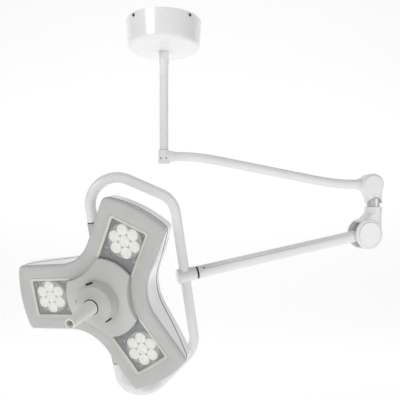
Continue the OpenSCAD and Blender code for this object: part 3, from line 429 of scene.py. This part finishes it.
bm = bmesh.new()
window = rounded_rect(WINDOW_IN, WINDOW_OUT, WINDOW_HALF, WINDOW_R)
for turn in LOBES:
    capped_skin(bm, [[turn_z(turn) @ Vector((x, y, z)) for x, y in window] for z in CUT_HEIGHTS])
capped_skin(bm, [[Vector((HUB_HOLE_R * math.cos(a), HUB_HOLE_R * math.sin(a), z)) for a in full_turn(48)]
                 for z in CUT_HEIGHTS])
bmesh.ops.recalc_face_normals(bm, faces=bm.faces)
cut_mesh = bpy.data.meshes.new("window_cut")
bm.to_mesh(cut_mesh)
bm.free()
cut_mesh.transform(HEAD)
cutter = bpy.data.objects.new("window_cut", cut_mesh)
bpy.context.scene.collection.objects.link(cutter)
hole = front.modifiers.new("windows", "BOOLEAN")
hole.operation = "DIFFERENCE"
hole.solver = "EXACT"
hole.object = cutter
bpy.context.view_layer.update()
front_done = bpy.data.meshes.new_from_object(front.evaluated_get(bpy.context.evaluated_depsgraph_get()))
front.modifiers.remove(hole)
front.data = front_done
bpy.data.objects.remove(cutter)
crisp = front.modifiers.new("edges", "BEVEL")
crisp.limit_method = "ANGLE"
crisp.angle_limit = math.radians(50)
crisp.width = 0.0006
crisp.segments = 2

# Window bezels: a sloped frame that steps up round each clear pane
BEZEL_STEPS = [(0.0088, -0.0030), (0.0088, 0.0002), (0.0078, 0.0006), (0.0062, 0.0004), (0.0008, -0.0022),
               (0.0002, -0.0030)]
PANE_OUT, PANE_HALF, PANE_R = 0.214, 0.048, 0.004
BEZEL_IN_OUTER, BEZEL_IN_INNER, BEZEL_SPLIT = 0.0875, 0.0885, 0.004
bm = bmesh.new()
for turn in LOBES:
    rings = []
    for grow, z in BEZEL_STEPS:
        inner_end = BEZEL_IN_OUTER if grow > BEZEL_SPLIT else BEZEL_IN_INNER
        rings.append([turn_z(turn) @ Vector((x, y, z)) for x, y in
                      rounded_rect(inner_end, PANE_OUT + grow, PANE_HALF + grow, PANE_R + grow / 2)])
    loops_to_skin(bm, rings, close_path=True)
new_piece("bezel_frames", bm, HEAD, "head", cream, ["window_bezels"])

# Lamp plates with stepped rims, and their corner screws with washers
PLATE_IN, PLATE_OUT, PLATE_HALF, PLATE_CORNER = 0.088, 0.217, 0.050, 0.005
PLATE_STEPS = ((0.0, -0.022), (0.0, -0.0204), (0.0004, -0.0200), (0.0030, -0.0200), (0.0036, -0.0206))
SCREW_X, SCREW_Y = (0.126, 0.207), (-0.041, 0.041)
SCREW_PROFILE = [(0.0, -0.0210), (0.0040, -0.0210), (0.0040, -0.0186), (0.0034, -0.0178),
                 (0.0022, -0.0178), (0.0016, -0.0190), (0.0, -0.0190)]
WASHER_PROFILE = [(0.0058, -0.0210), (0.0070, -0.0210), (0.0070, -0.0200), (0.0058, -0.0198)]
bm = bmesh.new()
for turn in LOBES:
    capped_skin(bm, [[turn_z(turn) @ Vector((x, y, z)) for x, y in
                      rounded_rect(PLATE_IN + g, PLATE_OUT - g, PLATE_HALF - g, PLATE_CORNER)]
                     for g, z in PLATE_STEPS])
new_piece("lamp_plates_detail", bm, HEAD, "head", plate_blue, ["led_plates"])
bm = bmesh.new()
for turn in LOBES:
    for x in SCREW_X:
        for y in SCREW_Y:
            at = turn_z(turn) @ Vector((x, y, 0))
            lathe(bm, SCREW_PROFILE, 24, (at.x, at.y))
            lathe(bm, WASHER_PROFILE, 28, (at.x, at.y))
new_piece("lamp_plate_screws", bm, HEAD, "head", steel, ())

# Lens holders: a milky cup under each cluster of seven lenses
CUP_FOOT, CUP_FLOOR = -0.0199, -0.0175
bm = bmesh.new()
for turn in LOBES:
    c = turn_z(turn) @ Vector((LAMP_R, 0, 0))
    lathe(bm, [(CLUSTER_R - 0.0006, CUP_FLOOR), (CLUSTER_R - 0.0006, -0.0112), (CLUSTER_R + 0.0002, -0.0106),
               (CLUSTER_R + 0.0012, -0.0116), (CLUSTER_R + 0.0012, CUP_FOOT), (0.0, CUP_FOOT),
               (0.0, CUP_FLOOR)], 96, (c.x, c.y))
new_piece("lens_holders", bm, HEAD, "head", milky, ())

# Dark ring and four clips round each holder
CLIP_R, CLIP_COUNT = 0.0030, 4
bm = bmesh.new()
for turn in LOBES:
    c = turn_z(turn) @ Vector((LAMP_R, 0, 0))
    lathe(bm, [(CLUSTER_R + 0.0013, -0.0150), (CLUSTER_R + 0.0024, -0.0150), (CLUSTER_R + 0.0028, -0.0162),
               (CLUSTER_R + 0.0028, CUP_FOOT), (CLUSTER_R + 0.0013, CUP_FOOT)], 96, (c.x, c.y))
    for k in range(CLIP_COUNT):
        a = math.radians(45 + 90 * k)
        x, y = c.x + (CLUSTER_R + 0.001) * math.cos(a), c.y + (CLUSTER_R + 0.001) * math.sin(a)
        lathe(bm, [(0.0, CUP_FOOT), (CLIP_R, CUP_FOOT), (CLIP_R, -0.0122), (CLIP_R - 0.0008, -0.0112),
                   (0.0, -0.0112)], 20, (x, y))
new_piece("lens_clips", bm, HEAD, "head", rim_dark, ())

# Lenses: six round one, each a flared cup with four stepped rings and a domed middle
LENS_COUNT, RING_COUNT = 7, 4
bm = bmesh.new()
r = LENS_R - 0.0001
profile = [(0.0, -0.0172), (r * 0.62, -0.0172), (r * 0.97, -0.0090), (r, -0.0082), (r * 0.97, -0.0076)]
for k in range(RING_COUNT):
    share, rise = 0.94 - 0.15 * k, 0.0005 * k
    profile += [(r * share, -0.0078 + rise), (r * (share - 0.03), -0.0083 + rise)]
profile += [(r * 0.36, -0.0068), (r * 0.2, -0.0060), (0.0, -0.0057)]
for turn in LOBES:
    for i in range(LENS_COUNT):
        a = math.radians(i * 60 + 30)
        d = 0.0 if i == LENS_COUNT - 1 else 2 * LENS_R - 0.0004
        at = turn_z(turn) @ Vector((LAMP_R + d * math.cos(a), d * math.sin(a), 0))
        lathe(bm, profile, 40, (at.x, at.y))
new_piece("lens_cups", bm, HEAD, "head", lens, ["lens_clusters"])

# Extension arm tube: a smooth sweep with the S-bend
SLOPE, BEND_R, EXT_R, WALL = 11.3, 0.680, 0.0150, 0.0025
REACH, DROP = 0.6675, 0.089
HUB_BACK, HOUSING_BACK, HUB_ENTRY, HOUSING_ENTRY = 0.0185, 0.0335, 0.004, 0.003
x0, x1 = HUB_BACK - HUB_ENTRY, REACH - HOUSING_BACK + HOUSING_ENTRY
slope = math.radians(SLOPE)
bend_drop, bend_run = BEND_R * (1 - math.cos(slope)), BEND_R * math.sin(slope)
mid = (DROP - 2 * bend_drop) / math.sin(slope)
level = (x1 - x0 - 2 * bend_run - mid * math.cos(slope)) / 2
ext_legs = [[level], [-SLOPE, BEND_R], [mid], [SLOPE, BEND_R], [level]]
bm = bmesh.new()
tube(bm, route_points(ext_legs, 1.0), EXT_R, WALL)
new_piece("extension_tube_skin", bm,
          EXT @ Matrix.Translation((x0, 0, 0)) @ Matrix.Rotation(math.radians(90), 4, "X"),
          "extension", white, ["extension_tube"])

# Yoke tube: one smooth bend from trunnion to trunnion. Depth and half width of its centre line,
# splay of its sides, bend radius, tube radius, and where the ends meet the trunnions
DEPTH, YHALF, SPLAY, YR, YTUBE_R, FACE = 0.222, 0.218, 33.0, 0.070, 0.0145, 0.199
corner, end = 90 - SPLAY, 90 + SPLAY
cut_back = YR * math.tan(math.radians(corner / 2))
run = DEPTH - YR - YR * math.sin(math.radians(SPLAY))
side = run / math.cos(math.radians(SPLAY)) - cut_back
end_c = YHALF + run * math.tan(math.radians(SPLAY)) - YR * math.cos(math.radians(SPLAY))
half_legs = [[end_c - FACE], [-end, YR], [side], [-corner, YR]]
yoke_legs = half_legs + [[2 * (YHALF - cut_back)]] + half_legs[::-1]
bm = bmesh.new()
tube(bm, route_points(yoke_legs, 3.0), YTUBE_R, WALL)
new_piece("yoke_tube_skin", bm,
          YOKE @ Matrix.Translation((DEPTH, 0, -FACE)) @ Matrix.Rotation(math.radians(90), 4, "X")
          @ Matrix.Rotation(math.radians(-90), 4, "Z"), "yoke", white, ["yoke_tube"])

# Canopy: thin shell with a rolled rim, fillet and shallow cone
OUT, CANOPY_T, FILLET, TAPER, TUBE_HOLE_R = 0.1195, 0.0025, 0.014, 0.005, 0.0158
RIM, LOW, END = -0.002, -0.076, -0.096


def canopy_profile(inset, top):
    pts = [(OUT - inset, top)]
    pts += arc_pts(OUT - TAPER - FILLET, LOW, FILLET - inset, 0, -84, 16)
    return pts + [(TUBE_HOLE_R, inset + END)]


bm = bmesh.new()
wall = canopy_profile(0.0, RIM - 0.0008) + canopy_profile(CANOPY_T, RIM - 0.0006)[::-1]
wall += [(OUT - 0.0019, RIM), (OUT - 0.0007, RIM)]
lathe(bm, wall, 160)
new_piece("canopy_shell", bm, CEILING, "ceiling", gloss_white, ["canopy_cover"])

# Small indicator lamp beside the control boss, and a dark ring round the grip's root that paints the shadow in the
# gap there
INDICATOR_R, INDICATOR_TURN = 0.071, 5
INDICATOR_STEPS = ((0.0, 0.0145), (0.0, 0.0176), (0.0005, 0.0180))
bm = bmesh.new()
rings = []
for shrink, z in INDICATOR_STEPS:
    slot = rounded_rect(-0.0022 + shrink, 0.0022 - shrink, 0.0070 - shrink, 0.0015)
    rings.append([Vector((*turned(INDICATOR_R + x, y, INDICATOR_TURN), z)) for x, y in slot])
capped_skin(bm, rings)
new_piece("indicator", bm, HEAD, "head", dark_plastic, ())
# Painted shadow: a dark ring where the grip's root meets the boss, standing in for the shade of the gap.
bm = bmesh.new()
lathe(bm, [(0.0186, GRIP_Z - 0.0012), (0.0205, GRIP_Z - 0.0012), (0.0209, GRIP_Z - 0.0004),
           (0.0200, GRIP_Z - 0.0001), (0.0170, GRIP_Z - 0.0001)], 72)
new_piece("grip_root_shadow_ring", bm, HEAD, "head", rubber, ())

# Dark bead in the seam between the side band and the back, which is part of a large sphere
SEAM_DEPTH, SEAM_R, BEAD = 0.086, 0.560, 0.0013
BEAD_STEPS = ((0.0035, -1.0), (0.0010, -1.0), (0.0006, -0.6), (0.0006, 0.6), (0.0010, 1.0), (0.0035, 1.0))


def seam_ring(inset, shift):
    return [Vector((x, y, SEAM_R - SEAM_DEPTH - math.sqrt(SEAM_R ** 2 - x * x - y * y) + shift))
            for x, y in outline(inset)]


bm = bmesh.new()
loops_to_skin(bm, [seam_ring(inset, BEAD * share) for inset, share in BEAD_STEPS], close_path=True)
new_piece("seam_bead", bm, HEAD, "head", rubber, ["seam_gasket"])

# Oval buttons: domed caps that stand a little proud of the boss
BUTTON_Z, BUTTON_HALF_W, BUTTON_HALF_H = 0.032, 0.010, 0.0055
BUTTON_CORNER = 0.0054
BUTTON_STEPS = ((0.0, 0.0455), (0.0, 0.0528), (0.0002, 0.0541), (0.0010, 0.0550), (0.0026, 0.0556),
                (0.0045, 0.0557))
for body, angle in (("power_button", -76), ("dimmer_button", 118)):
    bm = bmesh.new()
    rings = []
    for shrink, out in BUTTON_STEPS:
        oval = rounded_rect(-BUTTON_HALF_W + shrink, BUTTON_HALF_W - shrink, BUTTON_HALF_H - shrink,
                            BUTTON_CORNER - shrink, 10)
        rings.append([Vector((out, x, BUTTON_Z + y)) for x, y in oval])
    capped_skin(bm, rings)
    new_piece(body + "_cap", bm, HEAD @ turn_z(angle), body, dark_plastic, [body])

for name in ("centre_cover", "control_boss"):
    for poly in nodes[name].data.polygons:
        poly.use_smooth = True
ease_edges(nodes["centre_cover"], 0.0008, 40.0)

# ---------- floor, light and camera ----------
bm = bmesh.new()
FLOOR_Z, FLOOR_FRONT, FLOOR_BACK, CURVE_R, WALL_TOP, HALF_WIDTH = -2.0, -9.0, 2.6, 1.6, 6.0, 9.0
profile = [(FLOOR_FRONT, FLOOR_Z), (FLOOR_BACK, FLOOR_Z)]
profile += arc_pts(FLOOR_BACK, FLOOR_Z + CURVE_R, CURVE_R, -84, 0, 14)
profile.append((FLOOR_BACK + CURVE_R, WALL_TOP))
rows = [[Vector((x, y, z)) for x in (-HALF_WIDTH, HALF_WIDTH)] for y, z in profile]
loops_to_skin(bm, rows, closed_ring=False)
sweep_mesh = bpy.data.meshes.new("backdrop")
bm.to_mesh(sweep_mesh)
bm.free()
backdrop = bpy.data.objects.new("backdrop", sweep_mesh)
bpy.context.scene.collection.objects.link(backdrop)
mat, nt, bsdf = node_graph("backdrop")
noise = add(nt, "ShaderNodeTexNoise", Scale=3.0, Detail=2.0)
tone = add(nt, "ShaderNodeMapRange", From_Min=0.3, From_Max=0.7, To_Min=0.80, To_Max=0.83)
nt.links.new(noise.outputs["Fac"], tone.inputs["Value"])
nt.links.new(tone.outputs["Result"], bsdf.inputs["Base Color"])
bsdf.inputs["Roughness"].default_value = 0.9
bsdf.inputs["Emission Color"].default_value = (1, 1, 1, 1)
bsdf.inputs["Emission Strength"].default_value = 0.52
sweep_mesh.materials.append(mat)
for poly in sweep_mesh.polygons:
    poly.use_smooth = True

world = bpy.data.worlds.new("studio")
bpy.context.scene.world = world
world.use_nodes = True
world.node_tree.nodes["Background"].inputs["Color"].default_value = (1.0, 1.0, 1.0, 1)
world.node_tree.nodes["Background"].inputs["Strength"].default_value = 0.30


def soft_light(name, at, look, size, power):
    data = bpy.data.lights.new(name, "AREA")
    data.shape = "DISK"
    data.size = size
    data.energy = power
    obj = bpy.data.objects.new(name, data)
    obj.location = at
    obj.rotation_euler = (Vector(look) - Vector(at)).to_track_quat("-Z", "Y").to_euler()
    bpy.context.scene.collection.objects.link(obj)


MIDDLE = (0.1, 0, -0.6)  # middle of the lamp, where the lights point
soft_light("key", (-1.6, -2.2, 0.9), MIDDLE, 1.4, 27.0)
soft_light("fill", (2.2, -1.8, -0.4), MIDDLE, 1.6, 11.0)
soft_light("under", (0.0, -1.2, -1.8), MIDDLE, 1.6, 1.5)

camera = bpy.data.cameras.new("camera")
camera.sensor_width = 36.0
camera.lens = 40.5
eye = bpy.data.objects.new("camera", camera)
eye.location = (0.115, -1.437, -0.568)
eye.rotation_euler = (math.radians(90), 0, 0)
bpy.context.scene.collection.objects.link(eye)
bpy.context.scene.camera = eye
bpy.context.scene.view_settings.view_transform = "Standard"
